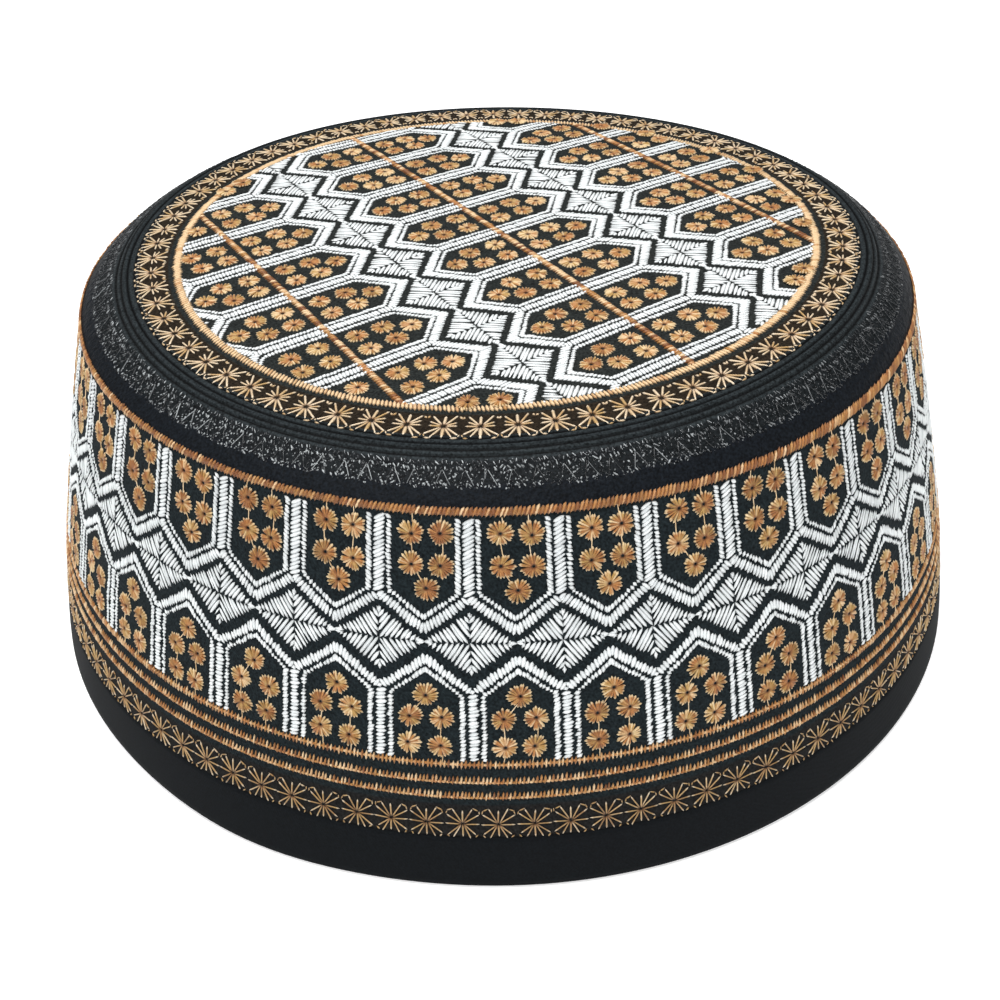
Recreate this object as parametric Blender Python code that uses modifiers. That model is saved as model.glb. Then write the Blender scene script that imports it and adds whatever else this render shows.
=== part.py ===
"""A stiff round kufi standing on its hem.

Four turned pieces of padded cloth: the flat crown panel, the rounded black rim round it, the side
wall that flares down to the head, and the folded hem that the cap stands on. Metres, +Z up. The origin
is the centre of the hem's foot, and -Y is the side that faces the viewer.
"""
import math

import bpy

# Driving dimensions
HEM_RADIUS = 0.0969          # outside of the hem, where it stands
SHOULDER_RADIUS = 0.0813     # outside of the wall's top edge
PANEL_RADIUS = 0.0721        # where the crown panel meets the rim
WALL_TOP = 0.0705            # height of the wall's top edge
CROWN_HEIGHT = 0.0789        # top of the crown at its centre
HEM_HEIGHT = 0.0113
WALL_CLOTH = 0.0026          # cloth with its stiffener
RIM_CLOTH = 0.0030           # padded and sewn over
HEM_CLOTH = 0.0030           # folded double
PANEL_CLOTH = 0.0026
SEAM_GAP = 0.0003            # between one piece and the next
WALL_BULGE = 1.26            # 1 is a straight cone, more is a fuller wall
RIM_FULLNESS = 0.34          # how far up the rim stays upright before it rolls inwards
RIM_TUCK = 0.0009            # how far the rim leans in below its roll
PANEL_FALL = 0.0005          # how far the panel dips all round its edge
ROUND_STEPS = 96             # facets round the cap

# The worn shape: the foot a little oval, the crown tipped and bowed
FOOT_OVAL = 0.006            # share that the foot is longer front to back and narrower side to side
CROWN_TURN = -21.0           # degrees from +X to the crown's high side
CROWN_LEAN = 0.0142          # rise of the crown for each metre towards its high side
CROWN_BOW = 0.0020           # fall of the crown at BOW_REACH, to both sides of the line through its high side
BOW_REACH = 0.0650

HEM_ROWS = 2                 # rows of faces up the hem
WALL_ROWS = 8                # rows of faces up the wall
RIM_ROWS = 6                 # rows of faces over the rim
PANEL_ROWS = 3               # rings of faces across the panel

BLACK_CLOTH = (0.020, 0.022, 0.024, 1.0)
BLACK_RIM = (0.016, 0.018, 0.021, 1.0)
WALL_COLOUR = (0.30, 0.20, 0.12, 1.0)
PANEL_COLOUR = (0.42, 0.33, 0.24, 1.0)


def clear_objects():
    for thing in list(bpy.data.objects):
        bpy.data.objects.remove(thing, do_unlink=True)


def make_collection(name):
    collection = bpy.data.collections.new(name)
    bpy.context.scene.collection.children.link(collection)
    return collection


def cloth_material(name, colour, roughness):
    material = bpy.data.materials.new(name)
    material.use_nodes = True
    shader = material.node_tree.nodes["Principled BSDF"]
    shader.inputs["Base Color"].default_value = colour
    shader.inputs["Roughness"].default_value = roughness
    shader.inputs["Metallic"].default_value = 0.0
    material.diffuse_color = colour
    return material


def wall_radius(height):
    """Outside of the wall and the hem at a height: upright at the foot and drawn in towards the top."""
    taper = HEM_RADIUS - SHOULDER_RADIUS
    return HEM_RADIUS - taper * (height / WALL_TOP) ** WALL_BULGE


def panel_height(radius):
    """Top of the crown panel at a radius: flat in the middle, with a slight fall at its edge."""
    return CROWN_HEIGHT - PANEL_FALL * (radius / PANEL_RADIUS) ** 4


def even_steps(start, end, rows):
    return [start + (end - start) * row / rows for row in range(rows + 1)]


def band_section(outline, thickness, level_start=True):
    """A band's closed section: down its outside, then back up its inside at an even thickness.

    The lower edge is cut level. The upper edge is cut level too, or upright where the band lies flat.
    """
    inside = []
    for index, (radius, height) in enumerate(outline):
        before = outline[max(index - 1, 0)]
        after = outline[min(index + 1, len(outline) - 1)]
        run = (after[0] - before[0], after[1] - before[1])
        length = math.hypot(*run)
        inward = (run[1] / length, -run[0] / length)
        inside.append((radius + inward[0] * thickness, height + inward[1] * thickness))
    inside[-1] = (inside[-1][0], outline[-1][1])
    if level_start:
        inside[0] = (inside[0][0], outline[0][1])
    else:
        inside[0] = (outline[0][0], inside[0][1])
    return outline + inside[::-1]


def hem_section():
    heights = even_steps(HEM_HEIGHT, 0.0, HEM_ROWS)
    return band_section([(wall_radius(height), height) for height in heights], HEM_CLOTH)


def wall_section():
    heights = even_steps(WALL_TOP, HEM_HEIGHT + SEAM_GAP, WALL_ROWS)
    return band_section([(wall_radius(height), height) for height in heights], WALL_CLOTH)


def rim_section():
    """The rim leaves the wall's top edge nearly upright and rolls over to the crown panel."""
    start = (PANEL_RADIUS + SEAM_GAP, panel_height(PANEL_RADIUS))
    foot = WALL_TOP + SEAM_GAP
    knee = (SHOULDER_RADIUS - RIM_TUCK, foot + (start[1] - foot) * RIM_FULLNESS)
    end = (wall_radius(WALL_TOP), foot)
    outline = []
    for share in even_steps(0.0, 1.0, RIM_ROWS):
        near = (1.0 - share) ** 2
        middle = 2.0 * share * (1.0 - share)
        far = share ** 2
        outline.append(tuple(near * start[axis] + middle * knee[axis] + far * end[axis] for axis in (0, 1)))
    return band_section(outline, RIM_CLOTH, level_start=False)


def panel_section():
    radii = even_steps(0.0, PANEL_RADIUS, PANEL_ROWS)
    top = [(radius, panel_height(radius)) for radius in radii]
    bottom = [(radius, height - PANEL_CLOTH) for radius, height in reversed(top)]
    return top + bottom


def turned_piece(name, section, closed, material, collection):
    """A section drawn at +X in the XZ plane and turned once about Z."""
    points = [(radius, 0.0, height) for radius, height in section]
    edges = [(index, index + 1) for index in range(len(points) - 1)]
    if closed:
        edges.append((len(points) - 1, 0))
    mesh = bpy.data.meshes.new(name)
    mesh.from_pydata(points, edges, [])
    mesh.materials.append(material)
    piece = bpy.data.objects.new(name, mesh)
    collection.objects.link(piece)
    turn = piece.modifiers.new("Turn", "SCREW")
    turn.axis = "Z"
    turn.angle = math.tau
    turn.steps = ROUND_STEPS
    turn.render_steps = ROUND_STEPS
    turn.use_merge_vertices = True
    turn.merge_threshold = 0.00005
    turn.use_smooth_shade = True
    return piece


def make_cage(name, counts, width, foot, top, collection):
    """A lattice cage centred on Z between two heights, with straight blends between its rows."""
    cage_data = bpy.data.lattices.new(name)
    cage_data.points_u, cage_data.points_v, cage_data.points_w = counts
    cage_data.interpolation_type_u = "KEY_LINEAR"
    cage_data.interpolation_type_v = "KEY_CATMULL_ROM"
    cage_data.interpolation_type_w = "KEY_LINEAR"
    cage = bpy.data.objects.new(name, cage_data)
    cage.location = (0.0, 0.0, (foot + top) / 2.0)
    cage.scale = (width, width, top - foot)
    cage.hide_render = True
    cage.display_type = "WIRE"
    collection.objects.link(cage)
    return cage


def oval_cage(collection):
    """Widens the foot front to back and narrows it side to side, fading out at the wall's top."""
    cage = make_cage("oval_cage", (2, 2, 2), 2.0 * HEM_RADIUS, 0.0, WALL_TOP, collection)
    for point in cage.data.points:
        if point.co.z < 0.0:
            point.co_deform.x *= 1.0 - FOOT_OVAL
            point.co_deform.y *= 1.0 + FOOT_OVAL
    return cage


def crown_cage(collection):
    """Tips the crown towards its high side and bows it down to both sides of that line."""
    width = 2.0 * HEM_RADIUS
    depth = CROWN_HEIGHT - WALL_TOP
    cage = make_cage("crown_cage", (2, 9, 2), width, WALL_TOP, CROWN_HEIGHT, collection)
    cage.rotation_euler = (0.0, 0.0, math.radians(CROWN_TURN))
    for point in cage.data.points:
        if point.co.z > 0.0:
            rise = CROWN_LEAN * point.co.x * width
            fall = CROWN_BOW * (point.co.y * width / BOW_REACH) ** 2
            point.co_deform.z += (rise - fall) / depth
    return cage


def shape_by(piece, *cages):
    for cage in cages:
        modifier = piece.modifiers.new("Shape " + cage.name, "LATTICE")
        modifier.object = cage


def main():
    clear_objects()
    kufi = make_collection("kufi")
    guides = make_collection("guides")
    black = cloth_material("black_hem_cloth", BLACK_CLOTH, 0.85)
    rim_black = cloth_material("black_rim_cloth", BLACK_RIM, 0.6)
    wall_cloth = cloth_material("embroidered_wall_cloth", WALL_COLOUR, 0.8)
    panel_cloth = cloth_material("embroidered_panel_cloth", PANEL_COLOUR, 0.8)

    hem = turned_piece("hem_band", hem_section(), True, black, kufi)
    wall = turned_piece("side_wall", wall_section(), True, wall_cloth, kufi)
    rim = turned_piece("crown_rim", rim_section(), True, rim_black, kufi)
    panel = turned_piece("crown_panel", panel_section(), False, panel_cloth, kufi)

    oval = oval_cage(guides)
    crown = crown_cage(guides)
    shape_by(hem, oval)
    shape_by(wall, oval)
    shape_by(rim, crown)
    shape_by(panel, crown)


main()
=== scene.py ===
"""The looks of a stiff embroidered kufi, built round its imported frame."""
import math
from typing import NamedTuple

import bpy
import numpy as np
from bpy.props import FloatProperty, FloatVectorProperty, IntProperty, PointerProperty
from bpy.types import Operator, Panel, PropertyGroup
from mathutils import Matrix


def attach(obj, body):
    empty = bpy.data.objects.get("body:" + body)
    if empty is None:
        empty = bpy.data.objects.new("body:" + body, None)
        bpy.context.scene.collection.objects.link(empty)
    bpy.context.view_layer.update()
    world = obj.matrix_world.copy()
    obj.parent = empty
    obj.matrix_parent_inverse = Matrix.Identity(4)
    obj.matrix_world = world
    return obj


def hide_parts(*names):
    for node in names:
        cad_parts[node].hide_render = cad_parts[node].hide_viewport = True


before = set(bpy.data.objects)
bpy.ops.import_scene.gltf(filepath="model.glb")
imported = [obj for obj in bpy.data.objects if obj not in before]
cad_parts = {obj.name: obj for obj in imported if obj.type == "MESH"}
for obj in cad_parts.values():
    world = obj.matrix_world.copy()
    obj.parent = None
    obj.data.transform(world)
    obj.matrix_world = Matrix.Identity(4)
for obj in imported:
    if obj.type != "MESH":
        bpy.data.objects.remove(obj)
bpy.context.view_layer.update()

bl_info = {
    "name": "Embroidered kufi",
    "version": (1, 0, 0),
    "blender": (4, 5, 0),
    "location": "3D View > Sidebar > Kufi",
    "description": "Cloth, embroidery and studio for a stiff round kufi",
    "category": "Object",
}

MM = 0.001
CROWN_FACETS = 192       # facets round the crown panel and the rim
WALL_FACETS = 216        # facets round the wall and the hem
RIM_ROWS = 96            # rows of faces over the rim
SECTION_SCALE = 10.0     # the cloths' section map counts in tenths of a metre
BULGE_NARROWNESS = 36    # the higher, the narrower the foot's bulge
RIM_MIDDLE = 76.0        # radius in millimetres at about the middle of the rim's stitching
SHORTEST_STITCH = 0.15 * MM
LONGEST_TAPER = 0.42     # the most of a stitch that the taper of each end may take up
SUNK = 0.12              # share of a stitch's height that lies in the cloth

# Seeds, so that the hand-sewn unevenness is the same each time
WALL_SEED = 11
CROWN_SEED = 23
STAR_SEED = 37
RIM_SEED = 51


def length(name, default, description):
    return FloatProperty(name=name, default=default, description=description, unit="LENGTH", precision=5)


def share(name, default, description):
    return FloatProperty(name=name, default=default, description=description, precision=4)


def tint(name, default, description):
    return FloatVectorProperty(name=name, default=default, description=description, subtype="COLOR",
                               size=3, min=0.0, max=1.0)


class KufiShape(PropertyGroup):
    """Sizes of the cap, as in its frame. The foot's bulge is in the looks only."""
    hem_radius: length("Hem radius", 0.0969, "Outside of the hem where the cap stands")
    shoulder_radius: length("Shoulder radius", 0.0813, "Outside of the wall's top edge")
    panel_radius: length("Panel radius", 0.0721, "Where the crown panel meets the rim")
    wall_top: length("Wall top", 0.0705, "Height of the wall's top edge")
    crown_height: length("Crown height", 0.0789, "Top of the crown at its centre")
    hem_height: length("Hem height", 0.0113, "Height of the plain hem")
    cloth: length("Cloth", 0.0026, "Thickness of the stiffened cloth")
    rim_cloth: length("Rim cloth", 0.0030, "Thickness of the padded rim")
    wall_bulge: share("Wall bulge", 1.26, "1 is a straight cone and more is a fuller wall")
    rim_fullness: share("Rim fullness", 0.34, "How far up the rim stays upright")
    rim_tuck: length("Rim tuck", 0.0009, "How far the rim leans in below its roll")
    panel_fall: length("Panel fall", 0.0005, "How far the panel dips all round its edge")
    foot_oval: share("Foot oval", 0.006, "Share by which the foot is longer front to back")
    crown_turn: share("Crown turn", -21.0, "Degrees from +X to the crown's high side")
    crown_lean: share("Crown lean", 0.0142, "Rise of the crown towards its high side")
    crown_bow: length("Crown bow", 0.0020, "Fall of the crown to both sides of its high line")
    bow_reach: length("Bow reach", 0.0650, "Where the crown bow is measured")
    foot_bulge: length("Foot bulge", 0.0009, "How far the foot stands out at its fullest place")
    bulge_turn: share("Bulge turn", -120.0, "Degrees from +X to the foot's fullest place")
    bulge_height: length("Bulge height", 0.0300, "Height where the foot's bulge ends")


class KufiChart(PropertyGroup):
    """The chart that the embroidery follows."""
    wall_repeats: IntProperty(name="Wall repeats", default=36, description="Bars round the wall")
    wall_turn: share("Wall turn", 6.17, "Degrees from +X to the first bar of the wall")
    lower_along: share("Lower along", 0.0155, "Repeats that the lower half lies to the right of the upper")
    lower_drop: length("Lower drop", 0.0002, "How much lower the lower half lies")
    chain_height: length("Chain height", 0.04844, "Height of the diamond chain on the wall")
    bar_pitch: length("Bar pitch", 0.01462, "From bar to bar on the crown")
    row_pitch: length("Row pitch", 0.04553, "From tan line to tan line on the crown")
    crown_angle: share("Crown angle", -58.42, "Degrees from +X to the run of the crown's chains")
    shift_along: length("Shift along", -0.00047, "Place of the middle bar along the chains")
    shift_across: length("Shift across", 0.00078, "Place of the middle tan line across the chains")
    slip: length("Slip", -0.00049, "How far the crown's rows lie towards the front in the middle")
    skew: length("Skew", 0.00030, "How far the rows are pulled back at 50 mm to the right")
    bow: length("Bow", 0.00158, "How far the rows bow back at 50 mm to both sides")
    twist: length("Twist", 0.00058, "How far the rows twist at 50 mm to the right and 50 mm back")
    ring_radius: length("Ring radius", 0.06185, "Tan ring round the crown's chart")
    thread_pitch: length("Thread pitch", 0.00070, "From one satin stitch to the next")
    crown_stars: IntProperty(name="Crown stars", default=69, description="Stars round the crown")
    crown_star_radius: length("Crown star radius", 0.06680, "Radius of the crown's star band")
    crown_star_turn: share("Crown star turn", 168.15, "Degrees from +X to the first crown star")
    hem_stars: IntProperty(name="Hem stars", default=95, description="Stars round the wall's foot")
    hem_star_height: length("Hem star height", 0.01412, "Height of the wall's star band")
    hem_star_turn: share("Hem star turn", 211.95, "Degrees from +X to the first wall star")
    line_heights: FloatVectorProperty(name="Line heights", default=(0.0706, 0.0260, 0.0229, 0.0199), size=4,
                                      description="Heights of the four tan lines on the wall", unit="LENGTH")


class KufiColours(PropertyGroup):
    """Colours of cloth and thread."""
    cloth: tint("Cloth", (0.0092, 0.0135, 0.0155), "Black twill of the wall")
    crown_cloth: tint("Crown cloth", (0.0165, 0.0190, 0.0182), "Black twill of the crown")
    crown_star_ground: tint("Crown star ground", (0.0180, 0.0128, 0.0082),
                            "Brown-black cloth under the crown's stars")
    wall_star_ground: tint("Wall star ground", (0.0105, 0.0102, 0.0100), "Black cloth under the wall's stars")
    edge: tint("Edge", (0.0195, 0.0245, 0.0268), "Seamed black edge between the stars and the rim")
    seam: tint("Seam", (0.0015, 0.0017, 0.0020), "Shaded seams of the edge and the rim")
    rim: tint("Rim", (0.0070, 0.0087, 0.0098), "Black cloth of the rim")
    # The rim's plain, unstitched lower band, darkened with painted shade where the rim turns down away from
    # the overhead light.
    shaded_rim_foot: tint("Shaded rim foot", (0.0046, 0.0062, 0.0086), "Black cloth at the foot of the rim")
    hem: tint("Hem", (0.0028, 0.0040, 0.0052), "Plain black hem")
    white_thread: tint("White thread", (0.80, 0.83, 0.83), "White satin thread")
    tan_thread: tint("Tan thread", (0.44, 0.187, 0.054), "Tan thread of the flowers")
    flower_tips: tint("Flower tips", (0.88, 0.70, 0.43), "Cream ends of the flowers' thread")
    star_tan: tint("Star tan", (0.52, 0.33, 0.15), "Tan thread of the stars")
    # Colour of the stars' ray ends, which are painted glints; the links use it as a pale tone too.
    star_pale: tint("Pale star tips", (0.92, 0.80, 0.62), "Ends of the stars' thread")
    pale_tan: tint("Pale tan", (0.84, 0.62, 0.37), "Lighter strands of the tan thread")
    olive_tan: tint("Olive tan", (0.45, 0.29, 0.09), "Greener patches of the tan thread")
    dark_tan: tint("Dark tan", (0.16, 0.050, 0.016), "Darker strands of the tan thread")
    black_thread: tint("Black thread", (0.020, 0.023, 0.026), "Glossy black thread of the rim")
    floor: tint("Floor", (0.86, 0.86, 0.86), "Pale studio floor")


class KufiStudio(PropertyGroup):
    """Camera and light."""
    distance: length("Camera distance", 0.34228, "From the camera to the centre of the hem's foot")
    elevation: share("Camera elevation", 37.695, "Degrees above level")
    roll: share("Camera roll", -1.436, "Degrees that the camera is turned about its view")
    lens: share("Lens", 54.0, "Focal length in millimetres on a 36 mm sensor")
    shift_x: share("Shift across", -0.0034, "Sensor shift across")
    shift_y: share("Shift up", 0.0505, "Sensor shift up")


def shape():
    return bpy.context.scene.kufi_shape


def chart():
    return bpy.context.scene.kufi_chart


def colours():
    return bpy.context.scene.kufi_colours


# The cap's surfaces, in metres, before the worn shape is given to them

def wall_radius(height):
    s = shape()
    drop = np.clip(np.asarray(height, float), 0.0, None) / s.wall_top
    return s.hem_radius - (s.hem_radius - s.shoulder_radius) * drop ** s.wall_bulge


def panel_height(radius):
    s = shape()
    return s.crown_height - s.panel_fall * (np.asarray(radius, float) / s.panel_radius) ** 4


def worn_shape(points):
    """The foot goes a little oval and bulges to one side, and the crown tips and bows."""
    s = shape()
    x, y, z = np.asarray(points, float).T
    up = np.clip(z / s.wall_top, 0.0, 1.0)
    crown = np.clip((z - s.wall_top) / (s.crown_height - s.wall_top), 0.0, 1.0)
    turn = math.radians(s.crown_turn)
    along = x * math.cos(turn) + y * math.sin(turn)
    across = -x * math.sin(turn) + y * math.cos(turn)
    lift = s.crown_lean * along - s.crown_bow * (across / s.bow_reach) ** 2
    wide = 1.0 - s.foot_oval * (1.0 - up)
    deep = 1.0 + s.foot_oval * (1.0 - up)
    facing = np.clip(np.cos(np.arctan2(y, x) - math.radians(s.bulge_turn)), 0.0, 1.0)
    fall = np.clip(1.0 - z / s.bulge_height, 0.0, 1.0) ** 2
    fuller = 1.0 + s.foot_bulge * facing ** BULGE_NARROWNESS * fall / s.hem_radius
    return np.stack([x * wide * fuller, y * deep * fuller, z + crown * lift], axis=1)


def on_wall(turns, heights):
    """Points and outward normals on the wall, for angles in radians and heights."""
    turns = np.asarray(turns, float)
    heights = np.asarray(heights, float)
    radius = wall_radius(heights)
    step = 0.0005
    slope = (wall_radius(heights + step) - wall_radius(heights - step)) / (2.0 * step)
    points = np.stack([radius * np.cos(turns), radius * np.sin(turns), heights], axis=1)
    normals = np.stack([np.cos(turns), np.sin(turns), -slope], axis=1)
    return points, normals / np.linalg.norm(normals, axis=1)[:, None]


def on_crown(x, y):
    """Points and upward normals on the crown panel."""
    radius = np.hypot(x, y)
    points = np.stack([x, y, panel_height(radius)], axis=1)
    normals = np.zeros_like(points)
    normals[:, 2] = 1.0
    return points, normals


# Modelling helpers

def start_clean():
    if bpy.context.object is not None and bpy.context.object.mode != "OBJECT":
        bpy.ops.object.mode_set(mode="OBJECT")
    bpy.ops.object.select_all(action="DESELECT")


def turned_cloth(name, section, steps):
    """A ring drawn out of one circle along a section and closed on itself, or capped at its two ends."""
    start_clean()
    first = section[0]
    bpy.ops.mesh.primitive_circle_add(vertices=steps, radius=first[0], location=(0.0, 0.0, first[1]))
    piece = bpy.context.object
    piece.name = name
    piece.data.name = name
    bpy.ops.object.transform_apply(location=True, rotation=True, scale=True)
    bpy.ops.object.mode_set(mode="EDIT")
    bpy.ops.mesh.select_all(action="SELECT")
    radius, height = first
    for next_radius, next_height in section[1:]:
        bpy.ops.mesh.extrude_region_move(TRANSFORM_OT_translate={"value": (0.0, 0.0, next_height - height)})
        ratio = next_radius / radius
        bpy.ops.transform.resize(value=(ratio, ratio, 1.0), center_override=(0.0, 0.0, next_height))
        radius, height = next_radius, next_height
    closed = math.dist(first, section[-1]) < 1e-7
    bpy.ops.mesh.select_all(action="SELECT")
    if closed:
        bpy.ops.mesh.remove_doubles(threshold=0.000002)
    else:
        bpy.ops.mesh.select_all(action="DESELECT")
        bpy.ops.mesh.select_mode(type="EDGE")
        bpy.ops.mesh.select_non_manifold()
        bpy.ops.mesh.edge_face_add()
        bpy.ops.mesh.select_all(action="SELECT")
    bpy.ops.mesh.normals_make_consistent(inside=False)
    bpy.ops.object.mode_set(mode="OBJECT")
    bpy.ops.object.shade_smooth()
    return piece


def wear(piece):
    """Gives a finished mesh the cap's worn shape, and keeps its unworn radius and height as a UV map."""
    mesh = piece.data
    flat = np.empty(len(mesh.vertices) * 3)
    mesh.vertices.foreach_get("co", flat)
    x, y, z = flat.reshape(-1, 3).T
    corner = np.empty(len(mesh.loops), dtype=np.int32)
    mesh.loops.foreach_get("vertex_index", corner)
    section = mesh.uv_layers.new(name="section")
    section.data.foreach_set("uv", (np.stack([np.hypot(x, y), z], axis=1)[corner] * SECTION_SCALE).ravel())
    mesh.vertices.foreach_set("co", worn_shape(flat.reshape(-1, 3)).ravel())
    mesh.update()


def dress(piece, material, slot, *nodes):
    piece.data.materials.clear()
    piece.data.materials.append(material)
    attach(piece, "root")
    if nodes:
        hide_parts(*nodes)


def cloth_piece(node, section, facets, material, slot):
    """A turned cloth in the worn shape, which stands for its CAD node."""
    piece = turned_cloth(node + "_cloth", section, facets)
    wear(piece)
    dress(piece, material, slot, node)
    return piece


def thread_shape(rings, shoulders=1.0):
    """One stitch, modelled once: a three-sided strand along X with its ridge up and closed ends.

    Gives its corners and its triangles. A corner's X is -1 or 1 at the ends, -0.5 or 0.5 where the
    taper starts and 0 in the middle. Its Y and Z are shares of the strand's width and height, and
    shoulders is the share of the width where the taper starts.
    """
    start_clean()
    bpy.ops.mesh.primitive_uv_sphere_add(segments=3, ring_count=rings, radius=1.0)
    strand = bpy.context.object
    bpy.ops.object.mode_set(mode="EDIT")
    bpy.ops.mesh.select_all(action="SELECT")
    bpy.ops.mesh.quads_convert_to_tris()
    bpy.ops.object.mode_set(mode="OBJECT")
    mesh = strand.data
    corners = np.array([tuple(vertex.co) for vertex in mesh.vertices])
    faces = np.array([tuple(face.vertices) for face in mesh.polygons])
    bpy.data.objects.remove(strand)
    bpy.data.meshes.remove(mesh)
    point = np.abs(corners[:, 2]) > 0.99
    middle = np.abs(corners[:, 2]) < 0.01
    along = np.sign(corners[:, 2]) * np.where(point, 1.0, 0.5)
    along = np.where(middle, 0.0, along)
    turn = np.arctan2(corners[:, 1], corners[:, 0])
    angle = turn - turn[~point][0] + math.pi / 2.0
    width, height, foot = 1.732, 1.5, -0.5     # of a three-sided strand with a radius of 1
    end_height = 0.15
    across = np.where(point, 0.0, np.cos(angle) / width) * np.where(middle, 1.0, shoulders)
    above = np.where(point, end_height, (np.sin(angle) - foot) / height)
    shaped = np.stack([along, across, above], axis=1)
    outward = np.cross(shaped[faces[:, 1]] - shaped[faces[:, 0]], shaped[faces[:, 2]] - shaped[faces[:, 0]])
    away = shaped[faces].mean(axis=1) - np.array([0.0, 0.0, 1.0 / 3.0])
    inward = (outward * away).sum(axis=1) < 0.0
    faces[inward] = faces[inward][:, ::-1]
    return shaped, faces


def joined(rows):
    """Joins rows of arrays end to end, each part of a row with the same part of the others."""
    return [np.concatenate(part) for part in zip(*rows)]


def sew(name, rows, thread_name, slot, taper=0.30 * MM, dome=0.0, rings=3, shoulders=1.0):
    """Joins the stitches of all rows into one piece, each standing on its surface's normal.

    A row holds the starts, ends, normals, widths, heights and shades of its stitches. taper is the
    length over which an end narrows, and dome how much higher than its shoulders a stitch's middle is.
    """
    starts, ends, normals, widths, heights, shades = joined(rows)
    corners, faces = thread_shape(rings, shoulders)
    run = ends - starts
    size = np.linalg.norm(run, axis=1)
    keep = size > SHORTEST_STITCH
    size = size[keep]
    run = run[keep] / size[:, None]
    middle = (starts[keep] + ends[keep]) / 2.0
    side = np.cross(normals[keep], run)
    side /= np.linalg.norm(side, axis=1)[:, None]
    lift = np.cross(run, side)
    tip = np.minimum(taper, size * LONGEST_TAPER)
    full = np.abs(corners[:, 0])
    reach = np.where(full[None, :] > 0.9, size[:, None] / 2.0, size[:, None] / 2.0 - tip[:, None])
    reach = np.where(full[None, :] < 0.1, 0.0, reach) * np.sign(corners[:, 0])[None, :]
    above = (corners[:, 2][None, :] - SUNK) * heights[keep][:, None]
    above = above + dome * (1.0 - full[None, :]) * 2.0 * (full < 0.9)
    points = middle[:, None, :] + reach[:, :, None] * run[:, None, :] + above[:, :, None] * lift[:, None, :]
    points += (corners[:, 1][None, :] * widths[keep][:, None])[:, :, None] * side[:, None, :]
    points = worn_shape(points.reshape(-1, 3))
    kept = len(size)
    triangles = (faces[None, :, :] + (np.arange(kept) * len(corners))[:, None, None]).reshape(-1, 3)
    mesh = bpy.data.meshes.new(name)
    mesh.vertices.add(len(points))
    mesh.vertices.foreach_set("co", points.ravel())
    mesh.loops.add(triangles.size)
    mesh.loops.foreach_set("vertex_index", triangles.ravel())
    mesh.polygons.add(len(triangles))
    mesh.polygons.foreach_set("loop_start", np.arange(0, triangles.size, 3))
    mesh.update(calc_edges=True)
    mesh.polygons.foreach_set("use_smooth", np.ones(len(triangles), bool))
    uv = mesh.uv_layers.new(name="strand")
    place = (reach / size[:, None] + 0.5).ravel()[triangles.ravel()]
    shade = np.repeat(shades[keep], len(corners))[triangles.ravel()]
    uv.data.foreach_set("uv", np.stack([place, shade], axis=1).ravel())
    mesh.validate()
    mesh.update()
    piece = bpy.data.objects.new(name, mesh)
    bpy.context.scene.collection.objects.link(piece)
    dress(piece, thread(thread_name), slot)


def even_mm(value, count):
    """The same width or height for a number of stitches, given in millimetres."""
    return np.full(count, value * MM)


def some_shades(rng, middle, spread, count):
    """Shades about a middle one, from 0 for the darkest strand to 1 for the palest."""
    return np.clip(rng.normal(middle, spread, count), 0.0, 1.0)


# The chart. Its places are repeats across and metres from the diamond chain.

class Half(NamedTuple):
    """One half of the chart, from the chain out to its tan line, with its lengths in millimetres."""
    left: tuple       # where the bar's middle strip ends and where its side strip starts and ends
    right: tuple      # the same to the bar's other side
    slants: tuple     # how far the bar's, the arm's and the side strip's stitches slant, in thread pitches
    edge_in: float    # the arm's two edges, halfway between bars
    edge_out: float
    line_in: float    # the thin line's two edges, halfway between bars
    line_out: float
    steep: float      # how fast all four rise towards the bar, for each repeat across
    end: float        # where the bar ends
    flowers: tuple    # the flowers' places from halfway between bars: one, two near and two far

    def sides(self):
        return (-1.0, self.left), (1.0, self.right)

    def rise(self, apex, across):
        """How many metres from the chain an edge is at a place across, from its height at the apex."""
        return (apex + self.steep * (0.5 - across)) * MM


UPPER_WALL = Half(left=(0.063, 0.087, 0.149), right=(0.061, 0.082, 0.141), slants=(-1.55, -0.55, 0.85),
                  edge_in=1.08, edge_out=3.18, line_in=3.66, line_out=4.68, steep=11.15, end=20.9,
                  flowers=((0.040, 8.9), (-0.138, 13.15), (0.201, 13.0), (-0.140, 18.55), (0.194, 18.4)))
LOWER_WALL = Half(left=(0.047, 0.081, 0.140), right=(0.052, 0.095, 0.148), slants=(0.4, -0.3, 0.65),
                  edge_in=1.93, edge_out=3.76, line_in=4.34, line_out=5.24, steep=11.70, end=21.6,
                  flowers=((0.0, 9.35), (-0.168, 13.6), (0.171, 13.55), (-0.171, 18.7), (0.155, 18.85)))
CROWN_HALF = Half(left=(0.067, 0.085, 0.140), right=(0.049, 0.067, 0.137), slants=(0.6, 0.4, 0.6),
                  edge_in=1.44, edge_out=3.86, line_in=4.12, line_out=5.32, steep=13.00, end=22.7,
                  flowers=((0.003, 9.1), (-0.17, 13.55), (0.165, 13.55), (-0.167, 18.95), (0.168, 18.95)))
WALL_HALVES = ((UPPER_WALL, 1.0), (LOWER_WALL, -1.0))
WALL_DIAMOND = (5.35 * MM, 5.50 * MM)
CROWN_DIAMOND = (6.36 * MM, 6.36 * MM)


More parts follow.
